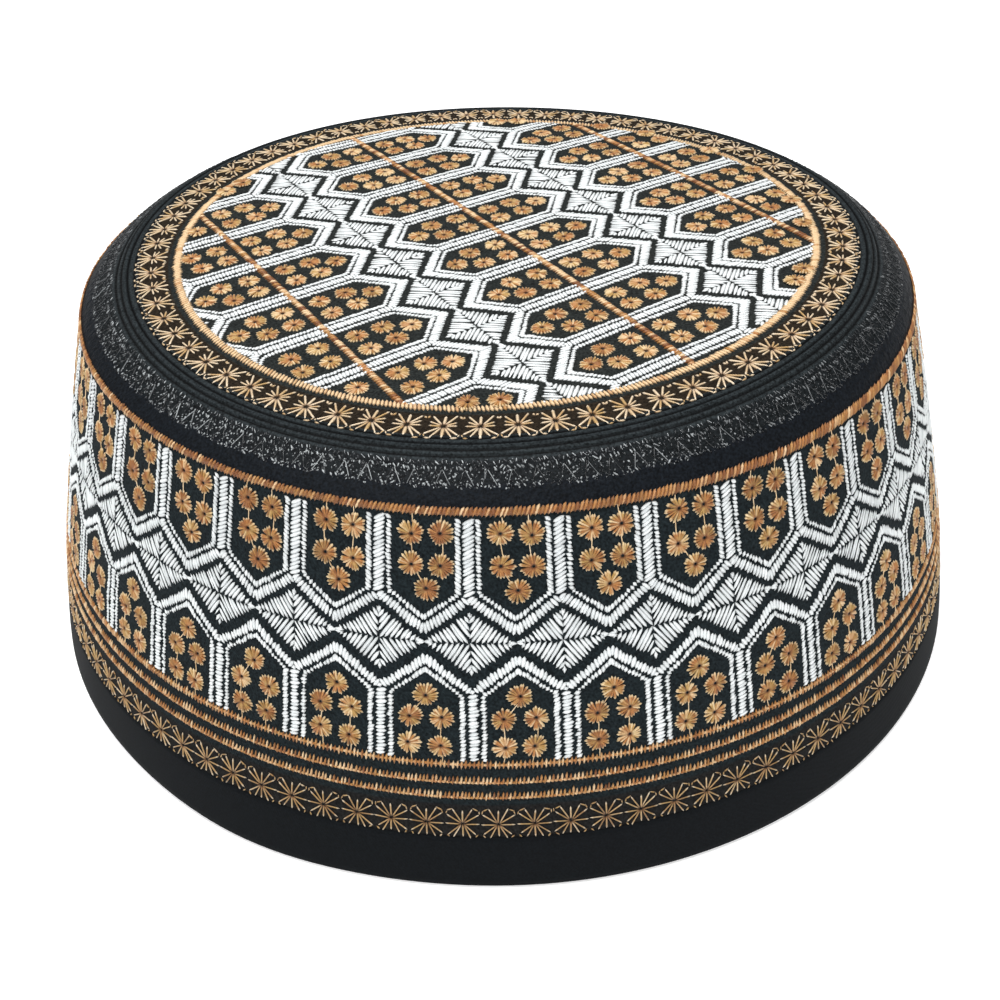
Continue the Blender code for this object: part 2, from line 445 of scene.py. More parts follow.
def column(rail_a, rail_b, pitch_across, thread_pitch, slant):
    """Satin stitches from one rail to the other, each rail a run of points with the same corners."""
    a = np.array(rail_a)
    b = np.array(rail_b)
    rows = []
    for a0, a1, b0, b1 in zip(a[:-1], a[1:], b[:-1], b[1:]):
        middle = (a1 + b1 - a0 - b0) / 2.0
        run = math.hypot(middle[0] * pitch_across, middle[1])
        count = max(1, round(run / thread_pitch))
        step = ((np.arange(count) + 0.5) / count)[:, None]
        lean = slant * thread_pitch / max(run, 1e-6)
        rows.append((a0 + (a1 - a0) * np.clip(step - lean / 2.0, 0.0, 1.0),
                     b0 + (b1 - b0) * np.clip(step + lean / 2.0, 0.0, 1.0)))
    return joined(rows)


def half_columns(half, pitch_across, thread_pitch):
    """All satin columns of one repeat of a half, with its bar at 0: the bar's three strips and their arms."""
    crotch = half.rise(half.edge_in, 0.0)
    near = crotch + 0.25 * MM
    end = half.end * MM
    edge_in, edge_out, line_in, line_out = (
        apex * MM for apex in (half.edge_in, half.edge_out, half.line_in, half.line_out))
    bar_slant, arm_slant, line_slant = half.slants
    middle = []
    rails = []
    for side, (wide, thin_in, thin_out) in half.sides():
        fork = half.rise(half.edge_out, wide)
        corner_in = half.rise(half.line_in, thin_in)
        corner_out = half.rise(half.line_out, thin_out)
        middle.append([(side * wide, end), (side * wide, fork), (side * 0.012, near)])
        rails.append(([(side * wide, fork), (side * 0.5, edge_out)],
                      [(0.0, crotch), (side * 0.5, edge_in)], arm_slant))
        rails.append(([(side * thin_out, end), (side * thin_out, corner_out)],
                      [(side * thin_in, end), (side * thin_in, corner_in)], -side * line_slant))
        rails.append(([(side * thin_out, corner_out), (side * 0.5, line_out)],
                      [(side * thin_in, corner_in), (side * 0.5, line_in)], 0.4))
    rails.append((middle[0], middle[1], bar_slant))
    return joined(column(a, b, pitch_across, thread_pitch, slant) for a, b, slant in rails)


def diamond_stitches(tall, half_pitch, thread_pitch):
    """A diamond at 0 filled in four quarters, each sewn square to its own edge from the middle lines.

    The long stitches stop a little short of the middle lines and the short ones cross them. One more
    stitch closes each corner.
    """
    rows = []
    overhang = 0.10 * MM
    shortest = 0.50 * MM
    for side in (-1.0, 1.0):
        for way, high in ((1.0, tall[0]), (-1.0, tall[1])):
            edge = math.hypot(half_pitch, high)
            count = round(edge / thread_pitch)
            step = (np.arange(count) + 0.5) / count
            tip_x = half_pitch * (1.0 - step)
            tip_y = high * step
            reach = np.minimum(tip_x * edge / high, tip_y * edge / half_pitch)
            tip_x = tip_x + overhang * high / edge
            tip_y = tip_y + overhang * half_pitch / edge
            cross = 0.24 * MM - 0.22 * MM * reach / reach.max()
            root_x = tip_x - (reach + cross) * high / edge
            root_y = tip_y - (reach + cross) * half_pitch / edge
            long = reach > shortest
            corner_x = np.array([half_pitch - 1.45 * MM, 0.0])
            corner_y = np.array([0.22 * MM, high - 1.15 * MM])
            point_x = np.array([half_pitch + 0.12 * MM, 0.0])
            point_y = np.array([0.04 * MM, high + 0.10 * MM])
            count = 2 if side > 0.0 else 1
            root_x = np.concatenate([root_x[long], corner_x[:count]])
            root_y = np.concatenate([root_y[long], corner_y[:count]])
            tip_x = np.concatenate([tip_x[long], point_x[:count]])
            tip_y = np.concatenate([tip_y[long], point_y[:count]])
            rows.append((np.stack([side * root_x / (2.0 * half_pitch), way * root_y], axis=1),
                         np.stack([side * tip_x / (2.0 * half_pitch), way * tip_y], axis=1)))
    return joined(rows)


def shaken(points, amount, rng):
    """Moves each point a little, by chance."""
    return points + rng.normal(0.0, amount, points.shape)


def repeat(starts, ends, count):
    """The stitches of one repeat, set out once for each of the repeats."""
    steps = np.arange(count, dtype=float)
    offset = np.stack([np.repeat(steps, len(starts)), np.zeros(count * len(starts))], axis=1)
    return np.tile(starts, (count, 1)) + offset, np.tile(ends, (count, 1)) + offset


def wall_place(points):
    """From the chart's repeats and metres above the chain to angles and heights on the wall."""
    c = chart()
    blend = 4.0 * MM
    low = np.clip(-points[:, 1] / blend, 0.0, 1.0)
    turns = math.radians(c.wall_turn) + (points[:, 0] + c.lower_along * low) * math.tau / c.wall_repeats
    return turns, c.chain_height + points[:, 1] - c.lower_drop * low


def wall_stitches(starts, ends):
    """Lays the chart's stitches on the wall, with the normals between their ends."""
    a, _ = on_wall(*wall_place(starts))
    b, _ = on_wall(*wall_place(ends))
    _, normals = on_wall(*wall_place((starts + ends) / 2.0))
    return a, b, normals


def crown_place(points):
    """From the chart's repeats and metres across to x and y on the crown, with its rows a little bowed."""
    c = chart()
    along = points[:, 0] * c.bar_pitch + c.shift_along
    across = points[:, 1] + c.shift_across
    turn = math.radians(c.crown_angle)
    x = along * math.cos(turn) - across * math.sin(turn)
    y = along * math.sin(turn) + across * math.cos(turn)
    measured_at = 50.0 * MM
    right = x / measured_at
    back = y / measured_at
    return x, y + c.slip + c.skew * right + c.bow * right ** 2 + c.twist * right * back


def crown_stitches(starts, ends, limit):
    """Lays stitches on the crown and cuts them off at a radius."""
    ax, ay = crown_place(starts)
    bx, by = crown_place(ends)
    inside_a = np.hypot(ax, ay) <= limit
    inside_b = np.hypot(bx, by) <= limit
    keep = inside_a | inside_b
    ax, ay, bx, by = ax[keep], ay[keep], bx[keep], by[keep]
    inside_a, inside_b = inside_a[keep], inside_b[keep]
    dx, dy = bx - ax, by - ay
    qa = dx * dx + dy * dy
    qb = ax * dx + ay * dy
    qc = ax * ax + ay * ay - limit * limit
    root = np.sqrt(np.maximum(qb * qb - qa * qc, 0.0))
    enter = np.clip((-qb - root) / qa, 0.0, 1.0)
    leave = np.clip((-qb + root) / qa, 0.0, 1.0)
    from_share = np.where(inside_a, 0.0, enter)
    to_share = np.where(inside_b, 1.0, leave)
    a, normals = on_crown(ax + dx * from_share, ay + dy * from_share)
    b, _ = on_crown(ax + dx * to_share, ay + dy * to_share)
    return a, b, normals


# Materials

TONES = ("Thread", "Second tone", "Pale strands", "Dark strands")
AMOUNTS = ("Patches", "Variation", "End shade", "Root shade", "Tip light")


def fill(tree, node, inputs):
    """Gives each input of a node its value, or links it to the output that feeds it."""
    for name, value in inputs.items():
        if isinstance(value, bpy.types.NodeSocket):
            tree.links.new(value, node.inputs[name])
        else:
            node.inputs[name].default_value = value


def put(tree, kind, inputs=None, **settings):
    """Adds a shader node with its settings and inputs."""
    node = tree.nodes.new("ShaderNode" + kind)
    for name, value in settings.items():
        setattr(node, name, value)
    fill(tree, node, inputs or {})
    return node


def scaled(tree, value, low, high, amount):
    """How far a value has come from low to high, from 0 up to an amount."""
    share_of_way = put(tree, "MapRange", {"Value": value, "From Min": low, "From Max": high})
    return put(tree, "Math", {0: share_of_way.outputs[0], 1: amount}, operation="MULTIPLY").outputs[0]


def mixed(tree, factor, a, b, blend="MIX"):
    """Goes from one colour to another by a factor."""
    inputs = {"Factor": factor, "A": a, "B": b}
    return put(tree, "Mix", inputs, data_type="RGBA", blend_type=blend).outputs["Result"]


def bumped(tree, height, strength, distance):
    inputs = {"Height": height, "Strength": strength, "Distance": distance}
    return put(tree, "Bump", inputs).outputs["Normal"]


def noise(tree, place, scale, detail):
    return put(tree, "TexNoise", {"Vector": place, "Scale": scale, "Detail": detail}).outputs["Fac"]


def new_group(name, inputs, outputs):
    """An empty node group with its input and output nodes. Each socket is given by name and type."""
    group = bpy.data.node_groups.new(name, "ShaderNodeTree")
    for way, sockets in (("INPUT", inputs), ("OUTPUT", outputs)):
        for label, kind in sockets:
            group.interface.new_socket(name=label, in_out=way, socket_type="NodeSocket" + kind)
    return group, group.nodes.new("NodeGroupInput").outputs, group.nodes.new("NodeGroupOutput")


def new_material(name):
    material = bpy.data.materials.new(name)
    material.use_nodes = True
    return material, material.node_tree, material.node_tree.nodes["Principled BSDF"]


def strand_group():
    """Colour and relief of a laid thread: strands differ a little, and their ends, where they sink into the
    cloth, get painted shade.
    """
    name = "Laid strand"
    if name in bpy.data.node_groups:
        return bpy.data.node_groups[name]
    inputs = [(label, "Color") for label in TONES] + [(label, "Float") for label in AMOUNTS]
    group, given, out = new_group(name, inputs, [("Colour", "Color"), ("Relief", "Float")])
    strand = put(group, "UVMap", uv_map="strand").outputs["UV"]
    place = put(group, "TexCoord").outputs["Object"]
    along, shade, _ = put(group, "SeparateXYZ", {0: strand}).outputs
    from_middle = put(group, "Math", {0: along, 1: 0.5}, operation="SUBTRACT").outputs[0]
    to_end = put(group, "Math", {0: from_middle}, operation="ABSOLUTE").outputs[0]
    spots = noise(group, place, 420.0, 2.0)
    colour = given["Thread"]
    for tone, value, low, high, amount in (("Second tone", spots, 0.42, 0.62, "Patches"),
                                           ("Pale strands", shade, 0.55, 1.0, "Variation"),
                                           ("Dark strands", shade, 0.45, 0.0, "Variation"),
                                           ("Dark strands", to_end, 0.30, 0.50, "End shade"),
                                           ("Dark strands", along, 0.27, 0.0, "Root shade"),
                                           ("Pale strands", along, 0.72, 0.96, "Tip light")):
        colour = mixed(group, scaled(group, value, low, high, given[amount]), colour, given[tone])
    twist = put(group, "TexWave", {"Vector": place, "Scale": 900.0, "Distortion": 1.5})
    fill(group, out, {"Colour": colour, "Relief": twist.outputs["Fac"]})
    return group


def twill_group():
    """Relief and colour masks of a fine twill, in Object coordinates."""
    name = "Fine twill"
    if name in bpy.data.node_groups:
        return bpy.data.node_groups[name]
    outputs = [(label, "Float") for label in ("Weave", "Mottle", "Flecks")]
    group, given, out = new_group(name, [("Threads a metre", "Float")], outputs)
    place = put(group, "TexCoord").outputs["Object"]
    turned = put(group, "Mapping", {"Vector": place, "Rotation": (0.3, 0.5, 0.78)}).outputs[0]
    weave = put(group, "TexWave", {"Vector": turned, "Scale": given["Threads a metre"],
                                   "Distortion": 2.5, "Detail": 1.0})
    fill(group, out, {"Weave": weave.outputs["Fac"], "Mottle": noise(group, place, 900.0, 3.0),
                      "Flecks": noise(group, place, 2300.0, 2.0)})
    return group


def cloth_material(name, colour, bands=(), relief=0.00008, roughness=0.85, gloss=0.08, flecks=0.9,
                   grain="Weave"):
    """Black cloth. Each band is a measure, its low and high limit and the colour between them."""
    material, tree, shader = new_material(name)
    twill = put(tree, "Group", {"Threads a metre": 700.0}, node_tree=twill_group()).outputs
    section = put(tree, "UVMap", uv_map="section").outputs["UV"]
    radius, height, _ = put(tree, "SeparateXYZ", {0: section}).outputs
    ground = put(tree, "RGB").outputs[0]
    ground.default_value = (*colour, 1.0)
    soft = 0.002
    for measure, low, high, band_colour in bands:
        value = radius if measure == "radius" else height
        foot = SECTION_SCALE * low
        top = SECTION_SCALE * high
        below = put(tree, "MapRange", {"Value": value, "From Min": top + soft, "From Max": top - soft})
        inside = scaled(tree, value, foot - soft, foot + soft, below.outputs[0])
        ground = mixed(tree, inside, ground, (*band_colour, 1.0))
    specks = put(tree, "MapRange", {"Value": twill["Flecks"], "From Min": 0.3, "From Max": 0.7,
                                    "To Min": 0.3, "To Max": 1.8}).outputs[0]
    fill(tree, shader, {"Base Color": mixed(tree, flecks, ground, specks, "MULTIPLY"),
                        "Normal": bumped(tree, twill[grain], 0.6, relief),
                        "Roughness": roughness, "Specular IOR Level": gloss})
    return material


def thread(name):
    """The satin thread of a name.

    A thread's look is its four tones, then how much it has of patches, variation and shaded ends and
    roots and lit tips, then its roughness, sheen and gloss.
    """
    if name in bpy.data.materials:
        return bpy.data.materials[name]
    c = colours()
    tones, amounts, roughness, sheen, gloss = {
        "White satin thread": (
            (c.white_thread, (0.78, 0.82, 0.83), (0.90, 0.92, 0.92), (0.42, 0.45, 0.46)),
            (0.4, 0.42, 0.3, 0.0, 0.0), 0.5, 0.1, 0.4),
        "Tan flower thread": (
            (c.tan_thread, c.olive_tan, c.flower_tips, c.dark_tan),
            (0.8, 0.60, 0.0, 1.0, 0.9), 0.5, 0.1, 0.4),
        "Tan line thread": (
            (c.tan_thread, c.olive_tan, c.pale_tan, c.dark_tan),
            (0.35, 0.8, 0.2, 0.0, 0.0), 0.45, 0.1, 0.4),
        # The stars' pale ray ends are painted glints.
        "Tan star thread": (
            (c.star_tan, c.olive_tan, c.star_pale, c.dark_tan),
            (0.5, 0.5, 0.0, 0.8, 0.85), 0.45, 0.1, 0.4),
        "Pale link thread": (
            (c.pale_tan, c.star_tan, c.star_pale, c.dark_tan),
            (0.6, 0.5, 0.4, 0.0, 0.0), 0.5, 0.1, 0.4),
        # Its pale strands are painted glints on the glossy thread.
        "Black glossy thread": (
            (c.black_thread, c.black_thread, (0.50, 0.53, 0.54), (0.010, 0.011, 0.012)),
            (0.0, 0.9, 0.0, 0.0, 0.0), 0.20, 0.0, 0.6),
    }[name]
    material, tree, shader = new_material(name)
    inputs = {label: (*tone, 1.0) for label, tone in zip(TONES, tones)}
    inputs.update(zip(AMOUNTS, amounts))
    strand = put(tree, "Group", inputs, node_tree=strand_group()).outputs
    fill(tree, shader, {"Base Color": strand["Colour"],
                        "Normal": bumped(tree, strand["Relief"], 0.25, 0.05 * MM),
                        "Roughness": roughness, "Specular IOR Level": gloss,
                        "Sheen Weight": sheen, "Sheen Roughness": 0.4})
    return material


# Operators

class KUFI_OT_crown_cloth(Operator):
    """The flat crown panel of black twill with its brown-black band for the stars."""
    bl_idname = "kufi.crown_cloth"
    bl_label = "Crown cloth"

    def execute(self, context):
        s = shape()
        c = colours()
        edge = s.panel_radius
        first_seam = 0.0692
        inner = np.linspace(0.0005, 0.0690, 18)
        section = [(r, panel_height(r)) for r in inner]
        section += [(r, panel_height(r) + self.seam(r)) for r in np.arange(first_seam, edge, 0.12 * MM)]
        section += [(edge, panel_height(edge)), (edge, panel_height(edge) - s.cloth)]
        section += [(r, panel_height(r) - s.cloth) for r in inner[::-4]]
        bands = (("radius", 0.0636, 0.0694, c.crown_star_ground), ("radius", 0.0694, 0.0740, c.edge),
                 ("radius", 0.06970, 0.07020, c.seam), ("radius", 0.07110, 0.07160, c.seam))
        material = cloth_material("Crown twill", c.crown_cloth, bands)
        cloth_piece("crown_panel", section, CROWN_FACETS, material, "crown_cloth")
        return {"FINISHED"}

    def seam(self, radius):
        """Two sewn grooves between the stars and the rim, with a soft ridge between them."""
        nearest = min(abs(radius - groove) for groove in (70.0 * MM, 71.35 * MM))
        return 0.24 * MM * (1.0 - math.exp(-(nearest / (0.18 * MM)) ** 2)) - 0.14 * MM


class KUFI_OT_rim_cloth(Operator):
    """The padded black rim, with its raised rows round the crown panel."""
    bl_idname = "kufi.rim_cloth"
    bl_label = "Rim cloth"

    def execute(self, context):
        s = shape()
        c = colours()
        outline = rim_outline()
        inside = []
        for row in range(0, RIM_ROWS + 1, 12):
            radius, height = outline[row]
            run = rim_direction(row / RIM_ROWS)
            inside.append((radius + run[1] * s.rim_cloth, height - run[0] * s.rim_cloth))
        section = outline + inside[::-1] + [outline[0]]
        # The last band is the rim's plain lower part, darkened with painted shade.
        bands = (("radius", 0.0700, 0.0744, c.edge), ("radius", 0.07235, 0.07285, c.seam),
                 ("radius", 0.07340, 0.07390, c.seam), ("height", 0.0660, 0.0744, c.shaded_rim_foot))
        material = cloth_material("Rim cloth", c.rim, bands, relief=0.6 * MM, roughness=0.55, gloss=0.07,
                                  flecks=1.0, grain="Mottle")
        piece = cloth_piece("crown_rim", section, CROWN_FACETS, material, "rim_cloth")
        return {"FINISHED"}


def rim_curve(where):
    """Outer line of the rim, from the panel's edge at 0 to the wall's top at 1, without its rows."""
    s = shape()
    start = np.array([s.panel_radius, float(panel_height(s.panel_radius))])
    foot = s.wall_top
    knee = np.array([s.shoulder_radius - s.rim_tuck, foot + (start[1] - foot) * s.rim_fullness])
    end = np.array([s.shoulder_radius, foot])
    where = np.asarray(where, float)[..., None]
    return (1.0 - where) ** 2 * start + 2.0 * where * (1.0 - where) * knee + where ** 2 * end


def rim_direction(where):
    """The way down the rim at a share of the way, across and up."""
    step = 0.01
    run = rim_curve(np.minimum(where + step, 1.0)) - rim_curve(np.maximum(where - step, 0.0))
    return run / np.linalg.norm(run, axis=-1, keepdims=True)


def rim_outline():
    """The rim's outer line with two sewn grooves along the panel."""
    outline = []
    for row in range(RIM_ROWS + 1):
        where = row / RIM_ROWS
        radius, height = rim_curve(where)
        run = rim_direction(where)
        nearest = min(abs(where - groove) for groove in (0.03, 0.09))
        ridge = 0.10 * MM - 0.30 * MM * math.exp(-(nearest / 0.013) ** 2) if 0.0 < where < 0.2 else 0.0
        outline.append((radius - run[1] * ridge, height + run[0] * ridge))
    return outline


class KUFI_OT_wall_cloth(Operator):
    """The side wall of black twill."""
    bl_idname = "kufi.wall_cloth"
    bl_label = "Wall cloth"

    def execute(self, context):
        s = shape()
        c = colours()
        heights = np.linspace(s.wall_top, s.hem_height, 30)
        outline = [(wall_radius(h), h) for h in heights]
        inside = [(wall_radius(h) - s.cloth, h) for h in heights[::-6]]
        section = outline + inside + [(outline[0][0] - s.cloth, outline[0][1]), outline[0]]
        material = cloth_material("Wall twill", c.cloth, (("height", 0.0, 0.0180, c.wall_star_ground),))
        cloth_piece("side_wall", section, WALL_FACETS, material, "wall_cloth")
        return {"FINISHED"}


class KUFI_OT_hem_cloth(Operator):
    """The plain folded hem that the cap stands on."""
    bl_idname = "kufi.hem_cloth"
    bl_label = "Hem cloth"

    def execute(self, context):
        s = shape()
        top = s.hem_height
        thick = 0.0030
        proud = 0.0001
        fold = 0.0008
        outer = [(wall_radius(h) + proud, h) for h in np.linspace(top, fold, 10)]
        foot = [(s.hem_radius - inset, height) for inset, height in (
            (0.0003, 0.0002), (0.0009, 0.0), (0.0021, 0.0), (0.0027, 0.0002), (thick, fold))]
        section = outer + foot + [(wall_radius(top) - thick, top), outer[0]]
        material = cloth_material("Hem cloth", colours().hem, relief=0.02 * MM, roughness=0.8, gloss=0.1,
                                  flecks=0.5)
        cloth_piece("hem_band", section, WALL_FACETS, material, "hem_cloth")
        return {"FINISHED"}


class Satin(NamedTuple):
    """How white satin is sewn: full, close strands whose ends come a little past the outline."""
    wide: float      # the narrowest strand, in thread pitches
    taper: float     # how far from its end a strand narrows, in millimetres, as are the next four
    ragged: float    # how much farther some strands reach
    loose: float     # how far their ends stray
    drift: float     # how far whole strands stray
    high: float      # how high the lowest strand stands
    shades: tuple    # the darkest and the palest strand


# Besides strand-to-strand differences, the shade ranges are painted light and shade: darkest on the upper
# wall, under the rim's roll, and palest on the crown, which faces the light.
UPPER_SATIN = Satin(1.03, 0.36, 0.06, 0.05, 0.03, 0.15, (0.0, 0.50))
LOWER_SATIN = Satin(1.20, 0.42, 0.26, 0.05, 0.03, 0.15, (0.10, 0.75))
WALL_DIAMOND_SATIN = Satin(0.93, 0.56, 0.10, 0.05, 0.05, 0.15, (0.05, 0.60))
CROWN_SATIN = Satin(1.26, 0.34, 0.0, 0.04, 0.02, 0.11, (0.30, 1.0))
CROWN_DIAMOND_SATIN = Satin(1.16, 0.40, 0.0, 0.05, 0.05, 0.11, (0.30, 1.0))


def lay_white(name, stitches, rng, satin):
    """Sews a piece of white satin from its stitches' starts, ends and normals."""
    starts, ends, normals = stitches
    count = len(starts)
    run = ends - starts
    run = run / np.maximum(np.linalg.norm(run, axis=1), 1e-6)[:, None]
    least, most = 0.04, 0.16     # how far the ends come past the outline, in millimetres
    starts = starts - run * rng.uniform(least, most, count)[:, None] * MM
    ends = ends + run * rng.uniform(least, most + satin.ragged, count)[:, None] * MM
    stray = rng.normal(0.0, satin.drift * MM, starts.shape)
    starts = shaken(starts + stray, (satin.loose + 0.03) / 2.0 * MM, rng)
    ends = shaken(ends + stray, satin.loose * MM, rng)
    widths = chart().thread_pitch * rng.uniform(satin.wide, satin.wide + 0.12, count)
    heights = rng.uniform(satin.high, satin.high + 0.05, count) * MM
    row = (starts, ends, normals, widths, heights, rng.uniform(*satin.shades, count))
    sew(name, [row], "White satin thread", "white_thread", taper=satin.taper * MM, dome=0.04 * MM, rings=4,
        shoulders=0.74)


class KUFI_OT_wall_white(Operator):
    """White bars, hexagon borders and diamonds on the wall."""
    bl_idname = "kufi.wall_white"
    bl_label = "Wall white work"

    def execute(self, context):
        c = chart()
        rng = np.random.default_rng(WALL_SEED)
        pitch_across = math.tau / c.wall_repeats * float(wall_radius(c.chain_height))
        bars = half_columns(UPPER_WALL, pitch_across, c.thread_pitch)
        lay_white("wall_white_upper", self.on_the_wall(bars, 1.0), rng, UPPER_SATIN)
        bars = half_columns(LOWER_WALL, pitch_across, c.thread_pitch)
        lay_white("wall_white_lower", self.on_the_wall(bars, -1.0), rng, LOWER_SATIN)
        diamonds = diamond_stitches(WALL_DIAMOND, pitch_across / 2.0, c.thread_pitch * 1.05)
        lay_white("wall_white_diamonds", self.on_the_wall(diamonds, 1.0), rng, WALL_DIAMOND_SATIN)
        return {"FINISHED"}

    def on_the_wall(self, stitches, way):
        """Sets out one repeat's stitches all round the wall, with way -1 to turn them down."""
        starts, ends = repeat(*stitches, chart().wall_repeats)
        flip = np.array([1.0, way])
        return wall_stitches(starts * flip, ends * flip)


def crown_repeats():
    """The whole repeats that can reach the ring, along the chains and across them."""
    c = chart()
    reach = math.ceil(c.ring_radius / c.bar_pitch) + 1
    return range(-reach, reach + 1), (-1.5, -0.5, 0.5, 1.5)


def on_crown_chart(stitches, ways):
    """Sets out one repeat's stitches along every chain of the crown, to its sides given by ways."""
    starts, ends = stitches
    along, across = crown_repeats()
    rows = []
    for row in across:
        for way in ways:
            for step in along:
                offset = np.array([step, row * chart().row_pitch])
                flip = np.array([1.0, way])
                rows.append((starts * flip + offset, ends * flip + offset))
    return joined(rows)


class KUFI_OT_crown_white(Operator):
    """White bars, hexagon borders and diamonds on the crown."""
    bl_idname = "kufi.crown_white"
    bl_label = "Crown white work"

    def execute(self, context):
        c = chart()
        rng = np.random.default_rng(CROWN_SEED)
        limit = c.ring_radius - 0.5 * MM
        bars = half_columns(CROWN_HALF, c.bar_pitch, c.thread_pitch)
        stitches = crown_stitches(*on_crown_chart(bars, (1.0, -1.0)), limit)
        lay_white("crown_white_bars", stitches, rng, CROWN_SATIN)
        diamonds = diamond_stitches(CROWN_DIAMOND, c.bar_pitch / 2.0, c.thread_pitch * 1.05)
        stitches = crown_stitches(*on_crown_chart(diamonds, (1.0,)), limit)
        lay_white("crown_white_diamonds", stitches, rng, CROWN_DIAMOND_SATIN)
        return {"FINISHED"}


def flower_spokes(centres, ups, normals, radius, wide, painted_light_shift, rng, spokes=21):
    """Spokes of round flowers at their centres, as one row of stitches for sew.

    ups is a direction in each flower's plane, radius and wide are in millimetres, wide from the narrowest to
    the widest spoke, and the shift added to each flower's shade is painted light and shade.
    """
    count = len(centres)
    first = rng.uniform(0.0, math.tau, count)
    angle = first[:, None] + np.arange(spokes)[None, :] * math.tau / spokes
    angle = angle + rng.normal(0.0, 0.06, angle.shape)
    side = np.cross(normals, ups)
    way = np.cos(angle)[..., None] * ups[:, None, :] + np.sin(angle)[..., None] * side[:, None, :]
    inner = 0.20 * MM
    outer = radius * MM * rng.uniform(0.92, 1.10, angle.shape)
    stray = rng.normal(0.0, 0.14 * MM, (2, count, 1))
    eyes = centres + stray[0] * ups + stray[1] * side
    starts = eyes[:, None, :] + way * inner
    ends = centres[:, None, :] + way * outer[..., None]
    shades = rng.uniform(0.25, 0.75, count)[:, None] + painted_light_shift[:, None] + rng.normal(0.0, 0.27, angle.shape)
    widths = rng.uniform(*wide, shades.size) * MM
    return (starts.reshape(-1, 3), ends.reshape(-1, 3), np.repeat(normals, spokes, axis=0), widths,
            even_mm(0.28, shades.size), np.clip(shades, 0.0, 1.0).ravel())


class KUFI_OT_flowers(Operator):
    """Tan flowers in the hexagons of the wall and the crown."""
    bl_idname = "kufi.flowers"
    bl_label = "Flowers"

    def execute(self, context):
        self.on_the_wall()
        self.on_the_crown()
        return {"FINISHED"}

    def on_the_wall(self):
        rng = np.random.default_rng(WALL_SEED + 1)
        places = []
        for half, way in WALL_HALVES:
            for across, away in half.flowers:
                places += [(0.5 + across + step, way * away * MM) for step in range(chart().wall_repeats)]
        turns, heights = wall_place(np.array(places))
        turns = turns + rng.normal(0.0, 0.0012, len(turns))
        heights = heights + rng.normal(0.0, 0.1 * MM, len(turns))
        centres, normals = on_wall(turns, heights)
        above, _ = on_wall(turns, heights + MM)
        ups = (above - centres) / np.linalg.norm(above - centres, axis=1)[:, None]
        # Painted shade: the wall's flowers are drawn darker, the upper half most, as it lies under the rim.
        painted_light_shift = np.repeat((-0.18, -0.06), len(centres) // 2)
        row = flower_spokes(centres, ups, normals, 2.20, (0.49, 0.60), painted_light_shift, rng)
        sew("wall_flowers", [row], "Tan flower thread", "tan_thread", taper=0.36 * MM)

    def on_the_crown(self):
        c = chart()
        rng = np.random.default_rng(CROWN_SEED + 1)
        along, across = crown_repeats()
        places = []
        for row in across:
            for way in (1.0, -1.0):
                for aside, away in CROWN_HALF.flowers:
                    places += [(0.5 + aside + step, row * c.row_pitch + way * away * MM) for step in along]
        x, y = crown_place(np.array(places))
        x = x + rng.normal(0.0, 0.1 * MM, len(x))
        y = y + rng.normal(0.0, 0.1 * MM, len(y))
        keep = np.hypot(x, y) < c.ring_radius - 0.2 * MM
        x = x[keep]
        y = y[keep]
        centres, normals = on_crown(x, y)
        centres[:, 2] += np.where(np.hypot(x, y) > c.ring_radius - 2.5 * MM, 0.25 * MM, 0.0)
        ups = np.tile((1.0, 0.0, 0.0), (len(centres), 1))
        # Painted light: the crown's flowers are drawn paler, as the crown faces the light.
        painted_light_shift = np.full(len(centres), 0.06)
        row = flower_spokes(centres, ups, normals, 2.18, (0.52, 0.64), painted_light_shift, rng)
        sew("crown_flowers", [row], "Tan flower thread", "tan_thread", taper=0.36 * MM)


class TanLine(NamedTuple):
    """A tan line on the wall, in millimetres: short slanting stitches over a bed of long level ones."""
    tall: float
    pitch: float
    slant: float
    shade: float
    fullness: float      # a stitch's width, in pitches
    bed_drop: float      # how far the bed lies below the line's middle, as a share of tall
    bed_wide: float
    bed_high: float
    bed_shade: float
    bed_spread: float    # how much the bed's shades differ


# The first line lies under the rim's roll, and its low shades are painted shade.
WALL_LINES = (TanLine(2.00, 0.70, 0.80, 0.32, 0.84, 0.0, 1.70, 0.24, 0.05, 0.1),
              TanLine(1.75, 0.72, 0.15, 0.60, 0.70, 0.0, 0.62, 0.36, 0.60, 0.2),
              TanLine(1.72, 0.715, 0.20, 0.62, 0.70, 0.24, 0.62, 0.36, 0.62, 0.2),
              TanLine(1.72, 0.71, 0.20, 0.62, 0.70, 0.24, 0.62, 0.36, 0.62, 0.2))


